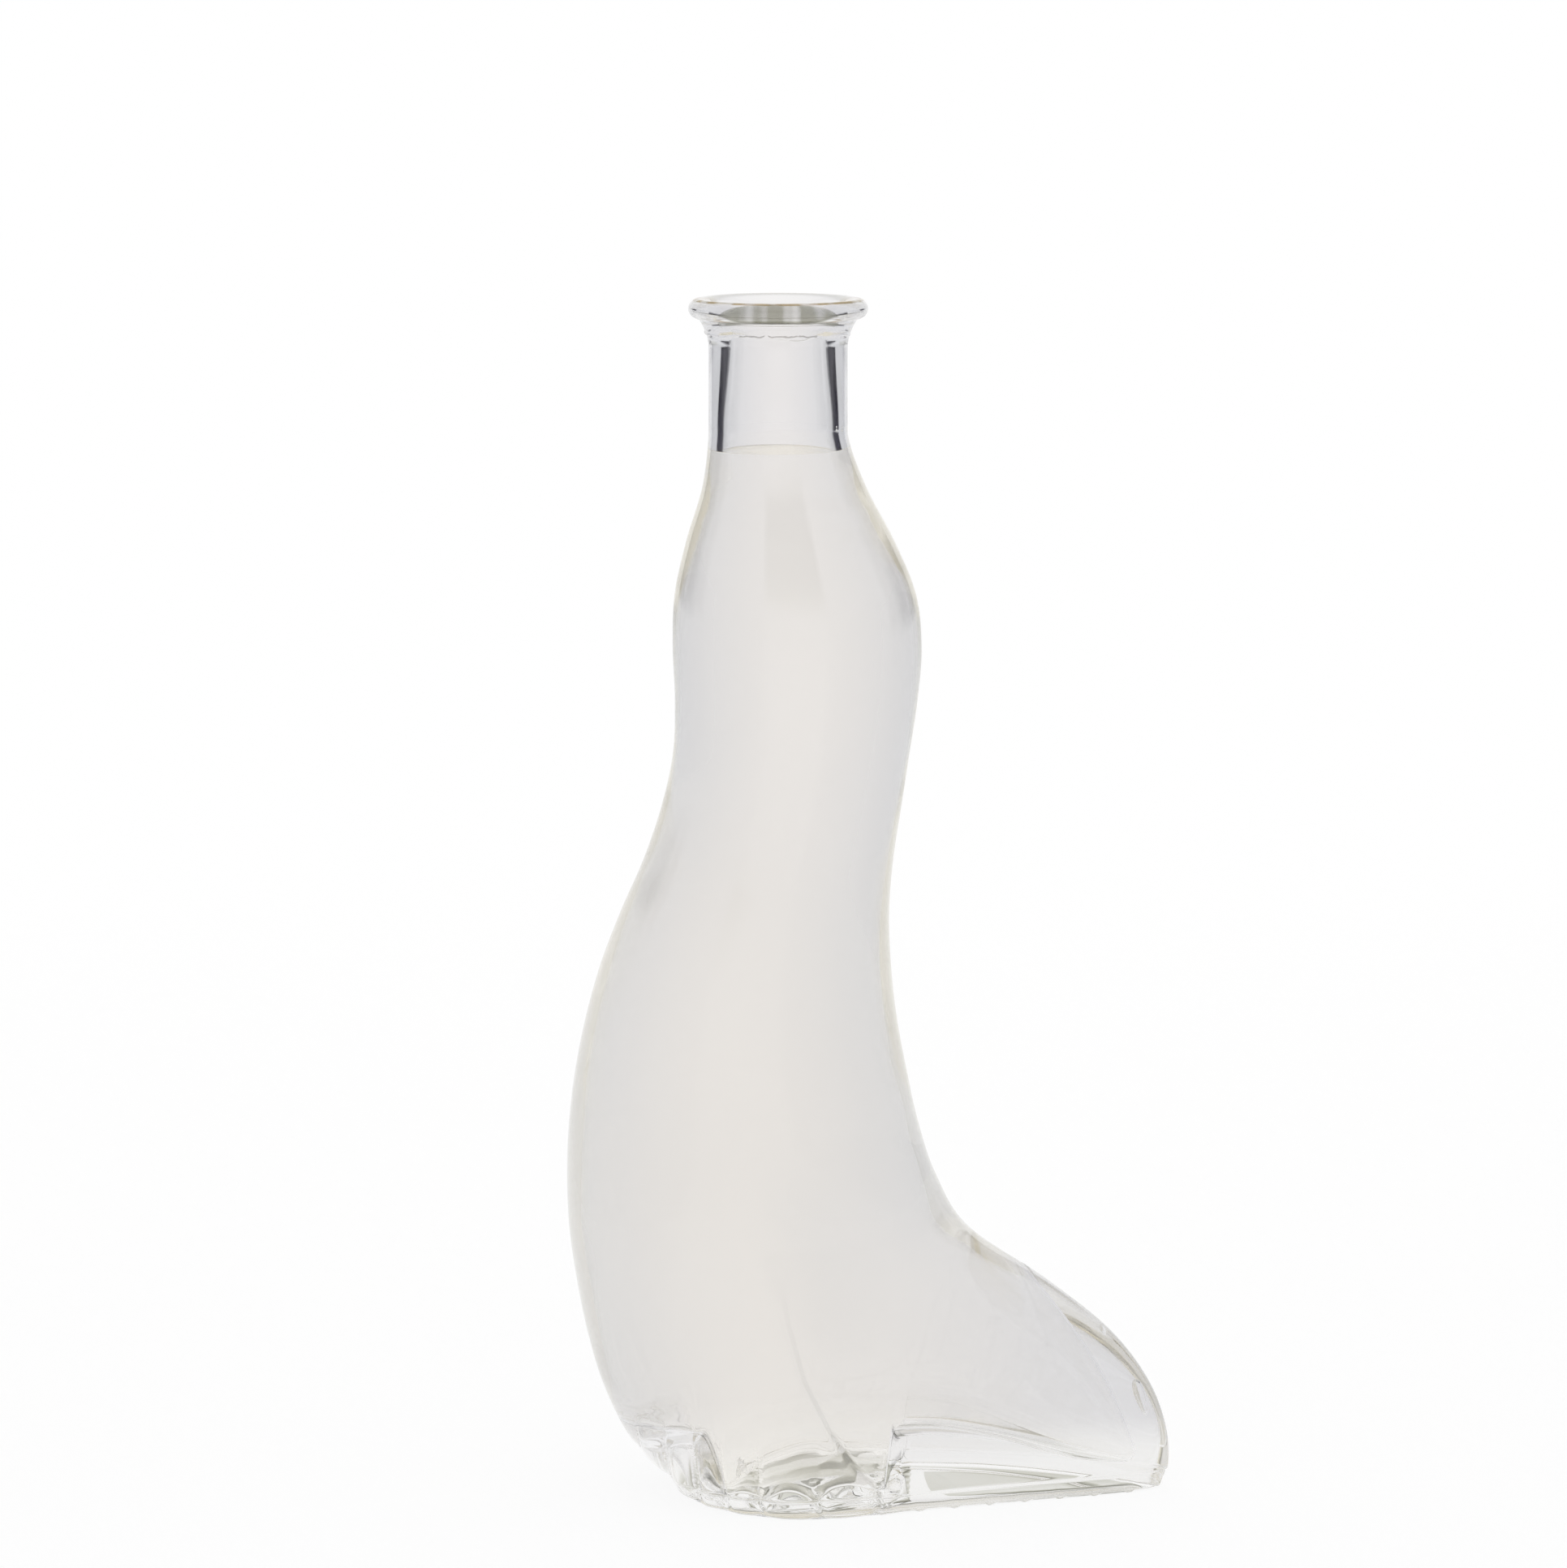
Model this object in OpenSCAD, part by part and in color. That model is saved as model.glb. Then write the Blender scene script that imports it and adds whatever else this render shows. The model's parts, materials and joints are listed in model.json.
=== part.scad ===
// Moulded glass bottle in the plain shape of an upright seal.
// The head stands below the neck, the chest bulges to -X and the tail runs out to +X.
// Z = 0 is the face that the bottle rests on, and the Z axis is the axis of the neck.

/* [Body] */
// Height of the body, from the rest face to the foot of the neck
body_h = 181; // [140:1:240]
// Reach of the chest in front of the neck's axis
chest_reach = 36; // [30:0.1:48]
// Reach of the tail behind the neck's axis
tail_reach = 67.4; // [56:0.1:84]
// Greatest width of the body, from side to side
body_w = 51; // [42:0.5:64]
// Thickness of the glass in the body's wall
body_wall = 3.4; // [2:0.1:5]
// Thickness of the glass at the end of the tail
tail_wall = 7; // [5:0.1:10]

/* [Neck and mouth] */
// Outer diameter of the neck
neck_d = 23.4; // [21:0.1:30]
// Diameter of the neck's bore, which takes the stopper
bore_d = 18; // [14:0.1:19]
// Length of the neck, from the body to the seam under the mouth
neck_len = 16; // [10:0.5:40]
// Height of the mouth above that seam
mouth_h = 6.6; // [5.6:0.1:9]
// Outer diameter of the lip
lip_d = 30.2; // [27:0.1:36]
// Diameter of the mouth, at the inner edge of the lip
mouth_d = 21.6; // [20:0.1:24]
// Radius of the lip's rounded bead
bead_r = 1.7; // [1.2:0.1:2.2]
// Height of the neck's flare below the seam
flare_drop = 1.6; // [0.8:0.1:3]

/* [Base] */
// Height of the base plate, up to its seam
plate_h = 3; // [2.2:0.1:4]
// How far the base plate stands in from the body above it
seam_step = 0.4; // [0.2:0.1:1]
// Radius of the base plate's lower edge
plate_edge_r = 1.6; // [0.8:0.1:2]
// Width of the flat ring that the bottle rests on
rest_w = 4; // [2.5:0.1:6]
// Depth of the hollow under the base
pushup_h = 1.5; // [0.5:0.1:1.6]
// Height of the cavity's floor at the chest
floor_h = 11.5; // [9:0.1:16]
// How much lower the cavity's floor lies at the tail
floor_drop = 6; // [2:0.1:6.4]
// Radius between the cavity's floor and its wall
floor_r = 3; // [2:0.1:5]

/* [Flippers] */
// Depth of the grooves between the toes
toe_groove = 2.4; // [0.5:0.1:2.6]
// Height at which the grooves between the toes fade out
toe_h = 17; // [12:0.5:24]
// Height of the front flippers
flipper_h = 20; // [16:0.5:28]
// Reach of the front flippers behind the neck's axis
flipper_rear = 17; // [12:0.5:22]
// Length of the tail's end, ahead of its tip
tail_len = 16; // [12:0.5:24]
// Height of the tail's end
tail_h = 32; // [26:0.5:40]

/* [Joints between the sections] */
// Height of the seam between the lower body and the chest
waist_z = 52; // [46:1:60]
// Height of the seam between the chest and the head
nape_z = 127; // [110:1:140]

/* [Smoothness] */
// Points along one side of a section of the lower body
lower_side_points = 42; // [32:2:52]
// Points along one side of a section of the chest and head
upper_side_points = 26; // [20:2:36]
// Sections over the height of the body
body_sections = 48; // [32:1:60]

/* [Hidden] */
$fn = 96;

neck_r = neck_d / 2;
bore_r = bore_d / 2;
lip_r = lip_d / 2;
mouth_r = mouth_d / 2;
seam_z = body_h + neck_len;
top_z = seam_z + mouth_h;
glass = [0.84, 0.87, 0.86, 0.45];
clear_glass = [0.9, 0.92, 0.93, 0.4];

// The body's side view, at equal steps of height from the rest face to the neck.
// The last step is the neck's own radius.
front_shares = [
    0.5, 0.705, 0.83, 0.905, 0.955, 0.99, 1, 0.99, 0.96, 0.91,
    0.84, 0.745, 0.635, 0.55, 0.495, 0.485, 0.495, 0.485, 0.43, 0.355
];
back_shares = [
    0.99, 0.99, 0.945, 0.845, 0.68, 0.482, 0.4, 0.355, 0.325, 0.3,
    0.285, 0.28, 0.29, 0.31, 0.33, 0.35, 0.36, 0.345, 0.29, 0.22
];
// The body's front view, half the width at the same steps
side_shares = [
    0.98, 1, 0.995, 0.99, 0.985, 0.98, 0.97, 0.95, 0.93, 0.9,
    0.86, 0.815, 0.77, 0.74, 0.735, 0.74, 0.735, 0.7, 0.61, 0.505
];
steps = len(front_shares);
front_line = concat([for (s = front_shares) s * chest_reach], [neck_r]);
back_line = concat([for (s = back_shares) s * tail_reach], [neck_r]);
side_line = concat([for (s = side_shares) s * body_w / 2], [neck_r]);

// Where a section is widest, from its front to its back, and how much it tapers to the tail
widest_shares = [0.27, 0.29, 0.31, 0.345, 0.39, 0.44, 0.48, 0.5];
taper_shares = [0.7, 0.69, 0.66, 0.6, 0.5, 0.3, 0.1, 0];
widest_line = [for (i = [0:steps]) widest_shares[min(i, len(widest_shares) - 1)]];
taper_line = [for (i = [0:steps]) taper_shares[min(i, len(taper_shares) - 1)]];
taper_power = 1.6;
taper_soft_share = 0.08;

// The grooves between the toes, from the chest's seam to the rear of the flipper
toe_shares = [0, 0.29, 0.46, 0.63, 0.82, 1];

// The neck's share of the body's height, over which the wall changes to the neck's
shoulder_share = 0.14;
// The share of the body's height over which the end of the tail thins to a wall
tail_wall_share = 0.2;
// The height over which the cavity's wall leaves the slope of its floor
floor_fade = 2.5 * floor_h;
edge_z = floor_h + floor_r;

// A smooth curve through equally spaced values
function curve(values, place) =
    let (last = len(values) - 1)
    let (i = max(0, min(floor(place), last - 1)))
    let (u = place - i)
    let (a = values[max(i - 1, 0)])
    let (b = values[i])
    let (c = values[i + 1])
    let (d = values[min(i + 2, last)])
    b + u / 2 * (c - a + u * (2 * a - 5 * b + 4 * c - d + u * (3 * (b - c) + d - a)));

function smooth(share) =
    let (s = max(0, min(1, share)))
    s * s * (3 - 2 * s);

function mix(a, b, share) = a + (b - a) * share;

function step_at(z) = steps * z / body_h;

// The run of a line's slope, for one unit of height
function slope(values, z) =
    let (h = body_h / steps / 4)
    (curve(values, step_at(z + h)) - curve(values, step_at(z - h))) / (2 * h);

function slant(values, z) = sqrt(1 + pow(slope(values, z), 2));

// The wall's thickness, which becomes the neck's wall at the shoulder
function wall_at(z) =
    mix(body_wall, neck_r - bore_r, smooth((z / body_h - 1 + shoulder_share) / shoulder_share));

function tail_extra(z) = (tail_wall - body_wall) * (1 - smooth(z / body_h / tail_wall_share));

// Half the width of a section, as a share of the greatest
function front_width(share) = sqrt(max(0, 1 - share * share));

function back_width(share, taper) =
    let (soft = sqrt(share * share + pow(taper_soft_share, 2)) - taper_soft_share)
    let (longest = sqrt(1 + pow(taper_soft_share, 2)) - taper_soft_share)
    mix(front_width(share), pow(max(0, 1 - soft / longest), taper_power), taper);

// The depth of the toes' grooves at a height
function groove_at(z) = toe_groove * (1 - smooth(z / toe_h));

// The place of a point behind the neck's axis, in a section just above the base plate
function place_of(x) =
    let (front = curve(front_line, step_at(plate_h)))
    let (back = curve(back_line, step_at(plate_h)))
    acos(1 - 2 * (x + front) / (front + back)) / 180;

// The number of a section's point at that place
function point_of(x, n) = round(n * place_of(x));

// How deep the surface lies under the toes' crowns, as a share of the grooves' depth
function toe_share(i, n) =
    let (ends = [for (s = toe_shares) round(s * point_of(flipper_rear, n))])
    let (toe = [for (j = [1:len(ends) - 1]) if (i >= ends[j - 1] && i <= ends[j]) j][0])
    toe == undef ? 0 :
    let (v = (i - ends[toe - 1]) / (ends[toe] - ends[toe - 1]))
    1 - sqrt(max(0, 1 - pow(2 * v - 1, 2)));

// A section's side, from its front to its back, closed by the same points on its other side
function outline(z, front_x, back_x, half_w, groove, n) =
    let (outer_front = curve(front_line, step_at(z)))
    let (outer_back = curve(back_line, step_at(z)))
    let (widest_x = mix(-outer_front, outer_back, curve(widest_line, step_at(z))))
    let (taper = curve(taper_line, step_at(z)))
    let (side = [for (i = [0:n])
        let (x = mix(front_x, back_x, (1 - cos(180 * i / n)) / 2))
        let (y = half_w * (x < widest_x
            ? front_width((widest_x - x) / (widest_x - front_x))
            : back_width((x - widest_x) / (back_x - widest_x), taper)))
        let (kept = groove == 0 ? 1 : 1 - groove * toe_share(i, n) / norm([x - widest_x, y]))
        [widest_x + (x - widest_x) * kept, y * kept]])
    concat(side, [for (i = [n - 1:-1:1]) [side[i][0], -side[i][1]]]);

// The outline of the glass at a height, set in by a distance, with its toes or plain
function outside(z, inset, n, toes = true) =
    outline(
        z,
        -curve(front_line, step_at(z)) + inset,
        curve(back_line, step_at(z)) - inset,
        curve(side_line, step_at(z)) - inset,
        toes ? groove_at(z) : 0,
        n
    );

// The outline of the cavity at a height, set in from its wall by a distance
function inside(z, inset, n) =
    let (wall = wall_at(z))
    outline(
        z,
        -curve(front_line, step_at(z)) + wall * slant(front_line, z) + inset,
        curve(back_line, step_at(z)) - wall * slant(back_line, z) - tail_extra(z) - inset,
        curve(side_line, step_at(z)) - wall - inset,
        0,
        n
    );

// The drop of the cavity's floor towards the tail
function drop_at(x) =
    floor_drop * pow(max(0, min(1, (x + chest_reach) / (chest_reach + tail_reach - tail_wall))), 2);

function ring(points, z) = [for (p = points) [p[0], p[1], z]];

// A ring that follows the floor's slope, in full at a fade of 1
function sloped(points, z, fade) = [for (p = points) [p[0], p[1], z - fade * drop_at(p[0])]];

// The number of sections between two heights
function levels_for(low, high) = ceil(body_sections * (high - low) / body_h);

// Rows of glass from the bottom up: each holds a ring on its outside and a ring on its inside
function wall_rows(low, high, n) =
    let (levels = levels_for(low, high))
    [for (k = [0:levels])
        let (z = mix(low, high, k / levels))
        [ring(outside(z, 0, n), z), ring(inside(z, 0, n), z)]];

// The glass beside the cavity's floor. Its inner ring climbs to the floor's edge.
under_levels = levels_for(plate_h, floor_h);
function under_rows(n) =
    [for (k = [0:under_levels])
        let (share = k / under_levels)
        let (z = mix(plate_h, floor_h, share))
        let (side = inside(k == under_levels ? edge_z : z, floor_r, n))
        [ring(outside(z, 0, n), z), sloped(side, z, share)]];

// The rounded edge between the cavity's floor and its wall
edge_levels = 3;
function edge_rows(n) =
    [for (k = [1:edge_levels])
        let (a = 90 * k / edge_levels)
        let (z = mix(floor_h, edge_z, k / edge_levels))
        let (side = inside(edge_z, floor_r * (1 - sin(a)), n))
        [ring(outside(z, 0, n), z), sloped(side, floor_h + floor_r * (1 - cos(a)), 1)]];

function lower_wall_rows(n) =
    let (levels = levels_for(edge_z, waist_z))
    [for (k = [1:levels])
        let (z = mix(edge_z, waist_z, k / levels))
        let (fade = 1 - smooth((z - edge_z) / floor_fade))
        [ring(outside(z, 0, n), z), sloped(inside(z, 0, n), z, fade)]];

lower_rows = concat(
    under_rows(lower_side_points),
    edge_rows(lower_side_points),
    lower_wall_rows(lower_side_points)
);
flipper_rows = len([for (row = lower_rows) if (row[0][0][2] < flipper_h) 1]);
tail_rows = len([for (row = lower_rows) if (row[0][0][2] < tail_h) 1]);
flipper_points = point_of(flipper_rear, lower_side_points);
tail_point = point_of(tail_reach - tail_len, lower_side_points);

// The sections of the lower glass, by the row and the point of a piece of it
function side_place(i) = i < lower_side_points ? i : 2 * lower_side_points - 1 - i;
function in_flipper(k, i) = k < flipper_rows && side_place(i) < flipper_points;
function in_tail(k, i) = k < tail_rows && side_place(i) >= tail_point;

function four(a, b, c, d) = [[a, b, c], [a, c, d]];

// One section of glass between the rows' outer and inner rings. Chosen says which pieces it has,
// and what it leaves out is closed by a wall from the outer ring to the inner one.
module glass_section(rows, chosen) {
    n = len(rows[0][0]);
    levels = len(rows) - 1;
    inner = (levels + 1) * n;
    has = function (k, i) k >= 0 && k < levels && chosen(k, (i + n) % n);
    at = function (k, i) k * n + i % n;
    polyhedron(
        points = concat([for (row = rows, p = row[0]) p], [for (row = rows, p = row[1]) p]),
        faces = [for (k = [0:levels - 1], i = [0:n - 1])
            if (has(k, i))
                let (a = at(k, i))
                let (b = at(k, i + 1))
                let (c = at(k + 1, i + 1))
                let (d = at(k + 1, i))
                for (f = concat(
                    four(a, b, c, d),
                    four(inner + a, inner + d, inner + c, inner + b),
                    has(k, i - 1) ? [] : four(d, inner + d, inner + a, a),
                    has(k, i + 1) ? [] : four(c, b, inner + b, inner + c),
                    has(k - 1, i) ? [] : four(a, inner + a, inner + b, b),
                    has(k + 1, i) ? [] : four(d, c, inner + c, inner + d)
                )) f]
    );
}

// Strips from side to side of a ring, which fill it also where it slopes from front to back
function strips(first, half, up) =
    [for (i = [0:half - 1])
        for (f = i == 0 ? [[0, 1, 2 * half - 1]] :
            i == half - 1 ? [[i, half, half + 1]] :
            four(i, i + 1, 2 * half - i - 1, 2 * half - i))
            [for (j = [0:2]) first + f[up ? j : 2 - j]]];

// A solid through rings of equally many points, closed by strips at its first ring and its last
module loft(rings) {
    n = len(rings[0]);
    top = len(rings) - 1;
    polyhedron(
        points = [for (r = rings, p = r) p],
        faces = concat(
            [for (k = [0:top - 1], i = [0:n - 1])
                let (a = k * n + i)
                let (b = k * n + (i + 1) % n)
                for (f = four(a, b, b + n, a + n)) f],
            strips(0, n / 2, false),
            strips(top * n, n / 2, true)
        )
    );
}

// The flare between the neck and the lip's bead. The seam crosses it.
bead_z = top_z - bead_r;
flare_z = seam_z - flare_drop;
flare_top = bead_z - bead_r;
flare_power = 2.4;
flare_steps = 10;
seam_share = flare_drop / (flare_top - flare_z);
function flare_at(share) =
    [mix(neck_r, lip_r - bead_r, pow(share, flare_power)), mix(flare_z, flare_top, share)];

module lip_and_mouth() {
    color(clear_glass)
        rotate_extrude()
            polygon(concat(
                [[bore_r, seam_z]],
                [for (k = [0:flare_steps]) flare_at(mix(seam_share, 1, k / flare_steps))],
                [for (a = [-80:16:80]) [lip_r - bead_r + bead_r * cos(a), bead_z + bead_r * sin(a)]],
                [[lip_r - bead_r, top_z]],
                [[mouth_r + bead_r / 2, top_z - bead_r / 6]],
                [[mouth_r, top_z - bead_r / 2]],
                [[mouth_r - bead_r / 3, bead_z - bead_r / 2]]
            ));
}

module neck() {
    color(clear_glass)
        rotate_extrude()
            polygon(concat(
                [[bore_r, body_h], [neck_r, body_h], [neck_r, flare_z]],
                [for (k = [1:flare_steps]) flare_at(seam_share * k / flare_steps)],
                [[bore_r, seam_z]]
            ));
}

module head() {
    color(glass)
        glass_section(wall_rows(nape_z, body_h, upper_side_points), function (k, i) true);
}

module chest() {
    color(glass)
        glass_section(wall_rows(waist_z, nape_z, upper_side_points), function (k, i) true);
}

module lower_body() {
    color(glass)
        glass_section(lower_rows, function (k, i) !in_flipper(k, i) && !in_tail(k, i));
}

// The solid glass under the cavity, inside the flippers and the lower body
module cavity_floor() {
    color(glass)
        loft([for (k = [0:under_levels]) lower_rows[k][1]]);
}

module front_flipper_left() {
    color(glass)
        glass_section(lower_rows, function (k, i) in_flipper(k, i) && i >= lower_side_points);
}

module front_flipper_right() {
    color(glass)
        glass_section(lower_rows, function (k, i) in_flipper(k, i) && i < lower_side_points);
}

module tail() {
    color(glass)
        glass_section(lower_rows, function (k, i) in_tail(k, i));
}

// The base plate: its seam, its rounded lower edge, the ring it rests on and its hollow
module base_plate() {
    n = lower_side_points;
    rest_inset = seam_step + plate_edge_r;
    color(glass)
        loft(concat(
            [for (a = [0:15:90])
                let (z = pushup_h * cos(a))
                ring(outside(z, rest_inset + rest_w + rest_w * (1 - sin(a)), n, false), z)],
            [for (a = [0:15:90])
                let (z = plate_edge_r * (1 - cos(a)))
                ring(outside(z, rest_inset - plate_edge_r * sin(a), n), z)],
            [ring(outside(plate_h, seam_step, n), plate_h)]
        ));
}

lip_and_mouth();
neck();
head();
chest();
lower_body();
cavity_floor();
front_flipper_left();
front_flipper_right();
tail();
base_plate();
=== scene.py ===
"""A clear glass bottle in the plain shape of an upright seal, filled with a drink, on a white stage.

The neck's axis is the Z axis, the bottle rests on Z = 0, the chest faces -X and the tail lies along +X.
"""
import json
import math

import bpy
import numpy as np
from bpy.props import FloatProperty, FloatVectorProperty, IntProperty, PointerProperty
from bpy.types import Operator, Panel, PropertyGroup
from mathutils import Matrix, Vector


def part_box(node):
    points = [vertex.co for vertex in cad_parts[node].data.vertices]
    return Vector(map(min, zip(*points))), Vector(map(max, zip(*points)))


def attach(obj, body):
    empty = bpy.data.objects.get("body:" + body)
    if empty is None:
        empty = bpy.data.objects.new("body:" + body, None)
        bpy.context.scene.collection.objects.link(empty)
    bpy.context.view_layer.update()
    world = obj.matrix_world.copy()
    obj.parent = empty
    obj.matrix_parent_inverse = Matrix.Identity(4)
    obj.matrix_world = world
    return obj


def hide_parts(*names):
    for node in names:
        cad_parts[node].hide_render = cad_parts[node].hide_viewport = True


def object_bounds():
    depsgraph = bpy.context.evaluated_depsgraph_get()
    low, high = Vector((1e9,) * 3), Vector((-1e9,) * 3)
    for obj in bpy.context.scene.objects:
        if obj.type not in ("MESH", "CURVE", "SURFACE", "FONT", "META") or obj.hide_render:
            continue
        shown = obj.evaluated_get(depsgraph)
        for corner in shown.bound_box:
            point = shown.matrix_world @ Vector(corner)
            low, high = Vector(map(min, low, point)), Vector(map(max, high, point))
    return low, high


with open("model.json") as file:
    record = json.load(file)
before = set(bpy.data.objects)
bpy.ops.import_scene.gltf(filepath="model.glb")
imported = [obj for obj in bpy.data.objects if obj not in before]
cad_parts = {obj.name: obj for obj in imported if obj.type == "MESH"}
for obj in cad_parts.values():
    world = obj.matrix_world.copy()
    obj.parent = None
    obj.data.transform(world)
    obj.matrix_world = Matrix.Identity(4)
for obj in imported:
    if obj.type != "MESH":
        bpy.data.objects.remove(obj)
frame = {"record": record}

bl_info = {
    "name": "Seal-shaped glass bottle",
    "version": (1, 0, 0),
    "blender": (4, 5, 0),
    "location": "3D View > Sidebar > Bottle",
    "description": "Builds a filled glass bottle in the shape of an upright seal, and its white stage",
    "category": "Add Mesh",
}

MM = 0.001
GLASS_NODES = (
    "lip_and_mouth", "neck", "head", "chest", "lower_body", "cavity_floor",
    "front_flipper_left", "front_flipper_right", "tail", "base_plate",
)
CAD_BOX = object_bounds()
BORE = next(m for m in frame["record"]["mounts"] if m["name"] == "mouth_bore")
# How much narrower the bore's middle is than the CAD's bore, in millimetres
BORE_NARROWER = 0.2
# The CAD's half width, doubled and taken in slightly, so that the mesh stays inside the CAD's box
WIDTH_SHARE = 1.998

# The side view and the front view of the body, at equal steps from the rest face to the neck
FRONT_SHARES = (
    0.5, 0.705, 0.83, 0.905, 0.955, 0.99, 1, 0.99, 0.96, 0.91,
    0.84, 0.745, 0.635, 0.55, 0.495, 0.485, 0.495, 0.485, 0.43, 0.355,
)
BACK_SHARES = (
    0.99, 0.99, 0.945, 0.845, 0.68, 0.482, 0.4, 0.355, 0.325, 0.3,
    0.285, 0.28, 0.29, 0.31, 0.33, 0.35, 0.36, 0.345, 0.29, 0.22,
)
SIDE_SHARES = (
    1, 1, 0.995, 0.99, 0.985, 0.98, 0.97, 0.95, 0.93, 0.9,
    0.86, 0.815, 0.77, 0.74, 0.735, 0.74, 0.735, 0.7, 0.61, 0.505,
)
# Where a section is widest, from front to back, and how much it tapers to the tail, at the same steps
WIDEST_SHARES = (0.27, 0.29, 0.31, 0.345, 0.39, 0.44, 0.48, 0.5)
TAPER_SHARES = (0.58, 0.69, 0.66, 0.6, 0.5, 0.3, 0.1, 0)
# How hollow the sides of a tapering section are, and how softly they start
TAPER_POWER = 1.6
TAPER_SOFT = 0.08
# How blunt the front of the base is. An ellipse has 2
FRONT_POWER = 1.87
# The grooves between the toes, from the chest to the flipper's rear: their places behind the neck's
# axis, as shares of the flipper's rear, and their depths above and below the base's seam
TOE_SHARES = (-1.75, -1.42, -1.13, -0.84, -0.54, -0.19, 0.42, 1)
TOE_DEPTH_SHARES = (0, 0.8, 0.9, 1, 0.4, 0.3, 0.12, 0.12)
TOE_LOW_SHARES = (0.8, 0.8, 0.8, 0.8, 0.4, 0.8, 0.8, 0.8)
# How far the rear end of the flipper's pocket leans back at its foot: places and moves, as shares of the
# flipper's rear
LEAN_SHARES = ((0.3, 0), (0.75, 0.27), (1.1, 0.02), (1.9, 0))
# The height of the cavity's floor, at equal steps from the chest to the tail
FLOOR_SHARES = (0.85, 0.85, 0.83, 0.8, 0.79, 0.8, 0.68, 0.46, 0.33)
# The rear edge of the flipper: places behind the neck's axis and heights, as shares of the flipper's
# rear and height
CREASE_SHARES = ((1.0, 0.09), (0.75, 0.2), (0.5, 0.36), (0.26, 0.56), (0.1, 0.8), (0, 1.0))
STEPS = len(FRONT_SHARES)
# The dark flag beside the neck: its distance from the neck's axis, front, back, low and high, as
# shares of the cards' distance
FLAG_SHARES = (0.83, 0.12, 1.12, 0.58, 0.98)
# The share of a flag's width and height over which its edge thins out
FLAG_EDGE = 0.16
# The pale cards: front, back, low and high, as shares of their distance
CARD_SHARES = (-2, 2.6, 0, 2)
# The bubbles in the glass: places, as shares of the tail's reach, half the width and the height, and
# radii in shares of the wall
BUBBLE_SHARES = (
    ((0.916, -0.02, 0.077), (0.31, 0.26, 0.92)),
    ((0.82, -0.03, 0.134), (0.15, 0.15, 0.28)),
    ((0.147, -0.12, 0.8925), (0.07, 0.07, 0.09)),
    ((0.1465, -0.12, 0.8955), (0.05, 0.05, 0.06)),
)
# How far the bubbles in the lower half lean towards the chest, and how pear-shaped all of them are
BUBBLE_LEAN = 0.3
BUBBLE_PEAR = 0.25
# How many heights or places each part's rings are spread over
RINGS = {
    "hollow": 12, "flippers": 150, "body": 180, "neck": 14, "flare": 64,
    "lip": 22, "mouth": 12, "bore": 24, "floor": 30,
}
# The angles of the rings round a rounded edge
ROUNDED = np.linspace(0, math.pi / 2, 9)
WHITE = (1, 1, 1)
# How much deeper the tint is where it drifts
TINT_DRIFT = 0.99
# Painted shade in the glass's tint: grey from where it faces the side, through to where it faces the chest
# or the tail, which are its rims as the camera sees them
PAINTED_SHADE_STOPS = ((0.0, WHITE), (0.36, (0.905, 0.922, 0.942)), (1.0, (0.8, 0.835, 0.87)))
# The two faint lines of painted shade on the glass, and how much of that painted shade the flipper's edge
# has
PAINTED_LINE_SHADE = (0.36, 0.35, 0.33)
CREASE_SHADE_STRENGTH = 0.2
# How much of the floor's look to the camera is plain white, whatever falls on it
PLAIN_SHARE = 0.92
# The sky that the glass shows, by its height from the horizon at 0 to overhead at 1
SKY_STOPS = (
    (0.12, WHITE),
    (0.26, (0.62, 0.62, 0.55)),
    (0.48, (0.16, 0.16, 0.12)),
    (0.85, (0.9, 0.9, 0.88)),
)
GLASS_RAYS = ("Is Glossy Ray", "Is Transmission Ray")
MATT = {"Roughness": 1.0, "Specular IOR Level": 0.0}
# Fewer bounces than this leave dark rims where light runs round inside the glass
GLASS_BOUNCES = 160


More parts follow.
